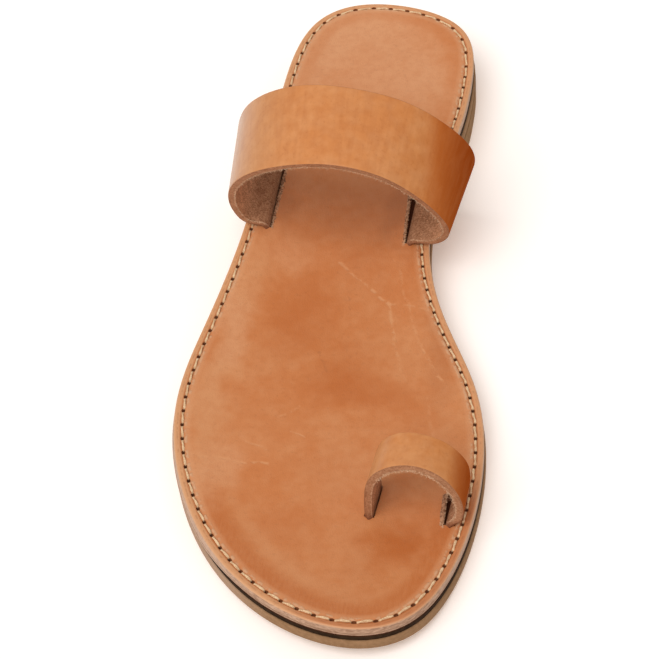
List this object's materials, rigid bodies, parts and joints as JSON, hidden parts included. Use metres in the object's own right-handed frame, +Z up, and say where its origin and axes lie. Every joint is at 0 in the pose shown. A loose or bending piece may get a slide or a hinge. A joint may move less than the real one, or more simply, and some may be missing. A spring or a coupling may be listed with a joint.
{
  "type": "greek sandal",
  "caption": "Flat tan leather sandal for the right foot, with an arched instep band and a big-toe loop slotted into a stitched footbed on a stacked sole.",
  "frame": {"origin": "middle of the sole's plan box, on the floor under the sole", "axes": "+Y along the sole from toe to heel, +X to the big-toe side, +Z up from the floor"},
  "size_m": [0.0871, 0.2453, 0.0613],
  "materials": {
    "outsole_rubber": "matte tan crepe",
    "heel_rubber": "matte tan crepe",
    "midsole_dark": "matte dark brown",
    "insole_leather": "waxed vegetable-tanned tan",
    "strap_leather": "satin vegetable-tanned tan",
    "loop_leather": "satin vegetable-tanned tan"
  },
  "bodies": {
    "root": {"outsole": "outsole_rubber", "heel": "heel_rubber", "midsole": "midsole_dark", "insole": "insole_leather", "instep_strap": "strap_leather", "toe_loop": "loop_leather"}
  },
  "joints": []
}
